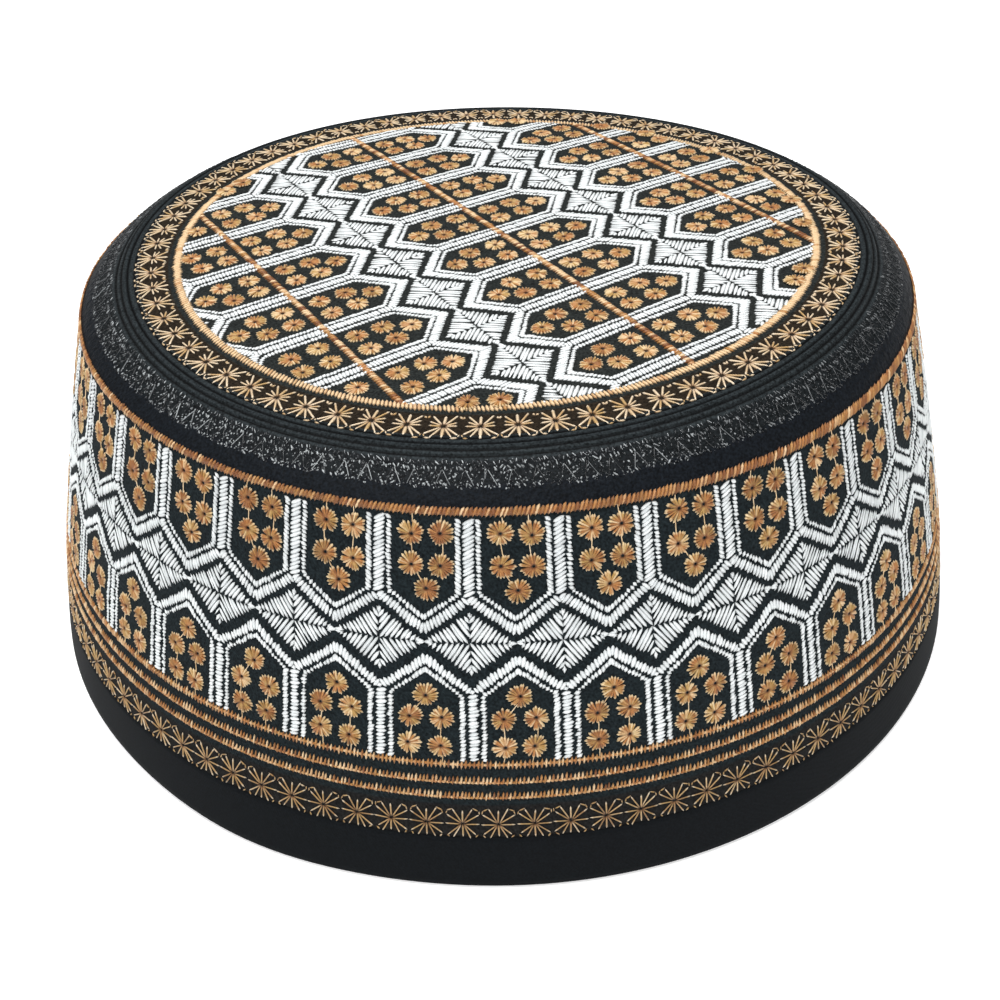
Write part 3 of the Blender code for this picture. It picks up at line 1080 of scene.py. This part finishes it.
class KUFI_OT_tan_lines(Operator):
    """Tan lines round the wall, the ring round the crown's chart and the lines across it."""
    bl_idname = "kufi.tan_lines"
    bl_label = "Tan lines"

    def execute(self, context):
        rng = np.random.default_rng(WALL_SEED + 2)
        rows = []
        for height, line in zip(chart().line_heights, WALL_LINES):
            radius = float(wall_radius(height))
            pitch = line.pitch * MM
            tall = line.tall * MM
            count = round(math.tau * radius / pitch)
            turns = np.arange(count) * math.tau / count + rng.normal(0.0, 0.0006, count)
            low = height - tall / 2.0 + rng.normal(0.0, 0.08 * MM, count)
            high = height + tall / 2.0 + rng.normal(0.0, 0.12 * MM, count)
            a, _ = on_wall(turns, low)
            b, _ = on_wall(turns + line.slant * MM / radius, high)
            _, normals = on_wall(turns, np.full(count, height))
            rows.append((a, b, normals, pitch * line.fullness * rng.uniform(0.92, 1.08, count),
                         even_mm(0.40, count), some_shades(rng, line.shade, 0.32, count)))
            bed = np.full(count, height - tall * line.bed_drop)
            lap = 1.6 * pitch / radius
            a, _ = on_wall(turns, bed)
            b, normals = on_wall(turns + lap, bed)
            rows.append((a, b, normals, even_mm(line.bed_wide, count), even_mm(line.bed_high, count),
                         some_shades(rng, line.bed_shade, line.bed_spread, count)))
        self.sew_lines("wall_tan_lines", rows)
        self.on_the_crown()
        return {"FINISHED"}

    def on_the_crown(self):
        c = chart()
        rng = np.random.default_rng(CROWN_SEED + 2)
        ring = c.ring_radius
        count = round(math.tau * ring / (0.71 * MM))
        turns = np.arange(count) * math.tau / count
        inner = ring - 0.98 * MM + rng.normal(0.0, 0.08 * MM, count)
        outer = ring + 1.00 * MM + rng.normal(0.0, 0.10 * MM, count)
        slant = 0.55 * MM / ring
        a, _ = on_crown(inner * np.cos(turns), inner * np.sin(turns))
        b, normals = on_crown(outer * np.cos(turns + slant), outer * np.sin(turns + slant))
        rows = [(a, b, normals, rng.uniform(0.68, 0.82, count) * MM, even_mm(0.40, count),
                 some_shades(rng, 1.12, 0.22, count))]
        reach = ring / c.bar_pitch
        count = round(2.0 * ring / (0.70 * MM))
        along = np.linspace(-reach, reach, count)
        limit = ring - 0.3 * MM
        half_line = 0.84 * MM
        lean = 0.045                   # in repeats along the line, as are the bed's two ends
        bed_from, bed_to = -0.04, 0.06
        for row in (-1.0, 0.0, 1.0):
            middle = row * c.row_pitch
            starts = np.stack([along, np.full(count, middle - half_line)], axis=1)
            ends = np.stack([along + lean, np.full(count, middle + half_line)], axis=1)
            starts[:, 1] += rng.normal(0.0, 0.07 * MM, count)
            ends[:, 1] += rng.normal(0.0, 0.07 * MM, count)
            a, b, normals = crown_stitches(starts, ends, limit)
            kept = len(a)
            rows.append((a, b, normals, rng.uniform(0.42, 0.56, kept) * MM, even_mm(0.52, kept),
                         some_shades(rng, 0.62, 0.50, kept)))
            starts = np.stack([along + bed_from, np.full(count, middle)], axis=1)
            ends = np.stack([along + bed_to, np.full(count, middle)], axis=1)
            a, b, normals = crown_stitches(starts, ends, limit)
            kept = len(a)
            rows.append((a, b, normals, even_mm(1.50, kept), even_mm(0.26, kept),
                         some_shades(rng, 0.10, 0.1, kept)))
        self.sew_lines("crown_tan_lines", rows)

    def sew_lines(self, name, rows):
        sew(name, rows, "Tan line thread", "tan_thread", taper=0.60 * MM)


# Rays of the stars in millimetres, each from point to point with its width. A point is given along
# the star's band, then outwards on the crown or up on the wall. The right side's rays are on both sides.
CROWN_STAR_UPRIGHT = (((0.0, -0.30), (0.0, -2.9), 0.60), ((0.0, 0.30), (0.0, 3.15), 0.72))
CROWN_STAR_RIGHT = (((0.20, -0.25), (2.15, -2.80), 0.46), ((0.30, -0.15), (2.35, -1.15), 0.42),
                    ((0.30, 0.05), (2.55, 0.00), 0.40), ((0.30, 0.20), (2.85, 2.35), 0.46),
                    ((0.20, 0.30), (1.75, 3.10), 0.46), ((2.95, 2.10), (2.55, 3.05), 0.44),
                    ((2.70, 3.00), (1.65, 3.20), 0.44), ((3.02, -1.95), (2.50, -2.75), 0.52))
WALL_STAR_UPRIGHT = (((0.0, 0.15), (0.0, 2.85), 0.38), ((0.0, -0.15), (0.0, -2.75), 0.38))
WALL_STAR_RIGHT = (((0.25, -0.10), (3.15, 0.0), 0.24), ((0.20, 0.10), (2.85, 2.05), 0.30),
                   ((0.15, 0.20), (1.75, 3.05), 0.30), ((2.90, 1.95), (2.75, 2.70), 0.28),
                   ((2.80, 2.65), (1.65, 3.10), 0.28), ((0.20, -0.15), (2.65, -2.15), 0.30),
                   ((0.15, -0.20), (1.60, -2.95), 0.30), ((2.75, -2.25), (2.20, -2.90), 0.32))


def star_rays(upright, right):
    """All rays of a star, with those of the right side mirrored to the left."""
    rays = list(upright)
    for side in (-1.0, 1.0):
        rays += [((ax * side, ay), (bx * side, by), width) for (ax, ay), (bx, by), width in right]
    return rays


class KUFI_OT_stars(Operator):
    """Bands of tan stars round the crown and along the wall's foot."""
    bl_idname = "kufi.stars"
    bl_label = "Stars"

    def execute(self, context):
        c = chart()
        rng = np.random.default_rng(STAR_SEED)
        rays = star_rays(CROWN_STAR_UPRIGHT, CROWN_STAR_RIGHT)
        self.sew_stars("crown_stars", c.crown_star_turn, c.crown_stars, rays, self.crown_point, 0.84, 1.06,
                       rng)
        rays = star_rays(WALL_STAR_UPRIGHT, WALL_STAR_RIGHT)
        self.sew_stars("wall_stars", c.hem_star_turn, c.hem_stars, rays, self.wall_point, 0.42, 0.90, rng)
        return {"FINISHED"}

    def crown_point(self, turns, along, across):
        c = chart()
        radius = c.crown_star_radius + across
        angle = turns + along / c.crown_star_radius
        return on_crown(radius * np.cos(angle), radius * np.sin(angle))

    def wall_point(self, turns, along, across):
        c = chart()
        height = np.full(len(turns), c.hem_star_height) + across
        return on_wall(turns + along / float(wall_radius(c.hem_star_height)), height)

    def sew_stars(self, name, first, count, rays, place, shade, fullness, rng):
        """Sews a band of stars from the first one's angle. place lays points of all stars on the cloth."""
        turns = math.radians(first) + np.arange(count) * math.tau / count
        rows = []
        for (ax, ay), (bx, by), width in rays:
            shake = rng.normal(0.0, 0.10 * MM, (4, count))
            a, _ = place(turns, ax * MM + shake[0] * 0.4, ay * MM + shake[1] * 0.4)
            b, normals = place(turns, bx * MM + shake[2], by * MM + shake[3])
            rows.append((a, b, normals, even_mm(width * fullness, count), even_mm(0.24, count),
                         some_shades(rng, shade, 0.2, count)))
        sew(name, rows, "Tan star thread", "tan_thread", taper=0.40 * MM)


class KUFI_OT_links(Operator):
    """Thin tan threads that run on from flower to flower and to the tan lines."""
    bl_idname = "kufi.links"
    bl_label = "Link threads"

    def execute(self, context):
        c = chart()
        rng = np.random.default_rng(WALL_SEED + 3)
        starts = []
        ends = []
        for half, way in WALL_HALVES:
            single, near_left, near_right, far_left, far_right = half.flowers
            line = half.end + 2.1
            runs = ((far_left, (far_left[0], line)), (far_right, (far_right[0], line)),
                    (near_left, far_left), (near_right, far_right), (single, near_left))
            for low, high in runs:
                for step in range(c.wall_repeats):
                    starts.append((0.5 + low[0] + step, way * low[1] * MM))
                    ends.append((0.5 + high[0] + step, way * high[1] * MM))
        count = len(starts)
        # Both ends stray. The first of the three draws is passed over.
        _, at_start, at_end = rng.normal(0.0, 1.0, (3, count, 2)) * (0.02, 0.2 * MM)
        a, b, normals = wall_stitches(np.array(starts) + at_start, np.array(ends) + at_end)
        run = (b - a) / np.linalg.norm(b - a, axis=1)[:, None]
        in_flower = 1.4 * MM
        row = (a + in_flower * run, b - in_flower * run, normals, even_mm(0.21, count),
               even_mm(0.14, count), rng.uniform(0.3, 0.9, count))
        sew("wall_links", [row], "Pale link thread", "tan_thread")
        return {"FINISHED"}


def on_rim(turns, where):
    """Points and outward normals on the rim, for angles in radians and shares of the way down it."""
    line = rim_curve(where)
    run = rim_direction(where)
    points = np.stack([line[:, 0] * np.cos(turns), line[:, 0] * np.sin(turns), line[:, 1]], axis=1)
    normals = np.stack([-run[:, 1] * np.cos(turns), -run[:, 1] * np.sin(turns), run[:, 0]], axis=1)
    return points, normals


class KUFI_OT_rim_stitching(Operator):
    """Glossy black stitching that holds the rim: rows of short stitches with a zigzag between them."""
    bl_idname = "kufi.rim_stitching"
    bl_label = "Rim stitching"

    def execute(self, context):
        rng = np.random.default_rng(RIM_SEED)
        rows = []
        for where, pitch, spread in ((0.160, 0.85, 0.008), (0.225, 0.85, 0.010), (0.45, 1.10, 0.015)):
            rows.append(self.flecks(where, pitch * MM, spread, rng))
        rows.append(self.scattered(4000, 0.13, 0.30, rng))
        rows.append(self.scattered(4200, 0.30, 0.50, rng))
        rows.append(self.zigzag(0.235, 0.455, 3.9 * MM, rng))
        sew("rim_black_stitching", rows, "Black glossy thread", "black_thread")
        return {"FINISHED"}

    def glint_shades(self, turns, rng):
        """Painted glints: strands of glossy thread drawn pale by chance, most of them towards the front left.
        """
        facing = 0.5 + 0.5 * np.cos(turns - math.radians(-112.0))
        return np.clip(rng.uniform(0.0, 1.0, len(turns)) * (0.45 + 0.70 * facing ** 3), 0.0, 1.0)

    def short_row(self, turns, down, lean, half, wide, high, least, rng):
        """Short stitches about their places, which lean sideways and reach half each way down the rim."""
        a, _ = on_rim(turns - lean / 2.0, np.clip(down - half, 0.0, 1.0))
        b, _ = on_rim(turns + lean / 2.0, np.clip(down + half, 0.0, 1.0))
        _, normals = on_rim(turns, np.clip(down, 0.0, 1.0))
        count = len(turns)
        # The shades are painted glints: pale thread, most of it towards the front left.
        return (a, b, normals, rng.uniform(*wide, count) * MM, rng.uniform(*high, count) * MM,
                least + (1.0 - least) * self.glint_shades(turns, rng))

    def flecks(self, where, pitch, spread, rng):
        """An even row of short stitches at a share of the way down the rim."""
        radius = float(rim_curve(where)[0])
        count = round(math.tau * radius / pitch)
        turns = np.arange(count) * math.tau / count + rng.normal(0.0, 0.003, count)
        down = where + rng.normal(0.0, spread, count)
        lean = rng.normal(0.35, 0.35, count) * MM / radius
        return self.short_row(turns, down, lean, 0.028, (0.26, 0.40), (0.15, 0.30), 0.35, rng)

    def scattered(self, count, top, foot, rng):
        """Short stitches strewn between two shares of the way down the rim."""
        turns = rng.uniform(0.0, math.tau, count)
        down = rng.uniform(top, foot, count)
        lean = rng.uniform(-0.5, 0.5, count) / RIM_MIDDLE
        half = rng.uniform(0.008, 0.020, count)
        return self.short_row(turns, down, lean, half, (0.20, 0.42), (0.10, 0.20), 0.0, rng)

    def zigzag(self, top, foot, pitch, rng):
        """A zigzag of thin stitches between two shares of the way down the rim."""
        count = round(math.tau * RIM_MIDDLE * MM / pitch)
        step = math.tau / count
        turns = np.arange(count) * step + rng.normal(0.0, 0.003, count)
        apex, _ = on_rim(turns, np.full(count, top))
        left, _ = on_rim(turns - 0.22 * step, np.full(count, foot))
        right, _ = on_rim(turns + 0.40 * step, np.full(count, foot))
        _, normals = on_rim(turns, np.full(count, (top + foot) / 2.0))
        starts = np.concatenate([left, apex])
        ends = np.concatenate([apex, right])
        both = 2 * count
        return (starts, ends, np.tile(normals, (2, 1)), even_mm(0.20, both), even_mm(0.24, both),
                0.10 + 0.8 * self.glint_shades(np.tile(turns, 2), rng))


class KUFI_OT_stage(Operator):
    """Pale floor, soft studio lights and the camera."""
    bl_idname = "kufi.stage"
    bl_label = "Stage"

    def execute(self, context):
        self.ground_and_sky(context.scene)
        self.softbox("overhead_softbox", (-0.1, 0.05, 1.1), 0.7, 10.0)
        self.softbox("front_softbox", (-0.15, -1.25, 0.75), 0.6, 4.2)
        self.softbox("left_softbox", (-0.85, -0.55, 0.95), 0.30, 3.3)
        self.softbox("right_softbox", (1.1, -0.6, 0.6), 0.6, 3.0)
        self.camera(context.scene)
        return {"FINISHED"}

    def ground_and_sky(self, scene):
        """A white floor that glows a little, so that it stays white, under a white sky."""
        white = (1.0, 1.0, 1.0, 1.0)
        start_clean()
        bpy.ops.mesh.primitive_plane_add(size=6.0, location=(0.0, 0.0, 0.0))
        floor = bpy.context.object
        floor.name = "studio_floor"
        material, tree, shader = new_material("Studio floor")
        fill(tree, shader, {"Base Color": (*colours().floor, 1.0), "Roughness": 0.9,
                            "Emission Color": white, "Emission Strength": 0.45})
        floor.data.materials.append(material)
        world = bpy.data.worlds.new("Studio")
        world.use_nodes = True
        fill(world.node_tree, world.node_tree.nodes["Background"], {"Color": white, "Strength": 0.38})
        scene.world = world
        scene.view_settings.view_transform = "Standard"

    def camera(self, scene):
        """The camera on its arc in front of the cap, aimed at the centre of the hem's foot."""
        studio = scene.kufi_studio
        elevation = math.radians(studio.elevation)
        camera_data = bpy.data.cameras.new("Camera")
        camera_data.lens = studio.lens
        camera_data.sensor_width = 36.0
        camera_data.shift_x = studio.shift_x
        camera_data.shift_y = studio.shift_y
        camera_data.clip_start = 0.01
        camera = bpy.data.objects.new("Camera", camera_data)
        scene.collection.objects.link(camera)
        camera.location = (0.0, -studio.distance * math.cos(elevation), studio.distance * math.sin(elevation))
        camera.rotation_mode = "QUATERNION"
        look = (-camera.location).to_track_quat("-Z", "Y")
        turn = math.radians(studio.roll)
        camera.rotation_quaternion = look @ type(look)((0.0, 0.0, 1.0), turn)
        scene.camera = camera

    def softbox(self, name, place, size, power):
        """A square light aimed at the middle of the cap."""
        light_data = bpy.data.lights.new(name, "AREA")
        light_data.shape = "SQUARE"
        light_data.size = size
        light_data.energy = power
        light = bpy.data.objects.new(name, light_data)
        bpy.context.scene.collection.objects.link(light)
        light.location = place
        middle = 0.05
        towards = light.location.copy()
        towards.xyz = (-place[0], -place[1], middle - place[2])
        light.rotation_euler = towards.to_track_quat("-Z", "Y").to_euler()


class KUFI_PT_sidebar(Panel):
    """Lists the kufi's settings and steps."""
    bl_idname = "KUFI_PT_sidebar"
    bl_label = "Kufi"
    bl_space_type = "VIEW_3D"
    bl_region_type = "UI"
    bl_category = "Kufi"

    def draw(self, context):
        layout = self.layout
        for step in STEPS:
            layout.operator(step.bl_idname)
        for name in SETTINGS:
            group = getattr(context.scene, name)
            box = layout.box()
            for setting in group.__annotations__:
                box.prop(group, setting)


SETTINGS = {"kufi_shape": KufiShape, "kufi_chart": KufiChart, "kufi_colours": KufiColours,
            "kufi_studio": KufiStudio}
STEPS = (KUFI_OT_crown_cloth, KUFI_OT_rim_cloth, KUFI_OT_wall_cloth, KUFI_OT_hem_cloth, KUFI_OT_wall_white,
         KUFI_OT_crown_white, KUFI_OT_flowers, KUFI_OT_tan_lines, KUFI_OT_stars, KUFI_OT_links,
         KUFI_OT_rim_stitching, KUFI_OT_stage)
CLASSES = (*SETTINGS.values(), *STEPS, KUFI_PT_sidebar)


def register():
    for part in CLASSES:
        bpy.utils.register_class(part)
    for name, group in SETTINGS.items():
        setattr(bpy.types.Scene, name, PointerProperty(type=group))


def unregister():
    for name in SETTINGS:
        delattr(bpy.types.Scene, name)
    for part in reversed(CLASSES):
        bpy.utils.unregister_class(part)


def main():
    register()
    bpy.ops.kufi.crown_cloth()
    bpy.ops.kufi.rim_cloth()
    bpy.ops.kufi.wall_cloth()
    bpy.ops.kufi.hem_cloth()
    bpy.ops.kufi.wall_white()
    bpy.ops.kufi.crown_white()
    bpy.ops.kufi.flowers()
    bpy.ops.kufi.tan_lines()
    bpy.ops.kufi.stars()
    bpy.ops.kufi.links()
    bpy.ops.kufi.rim_stitching()
    bpy.ops.kufi.stage()


if __name__ == "__main__":
    main()
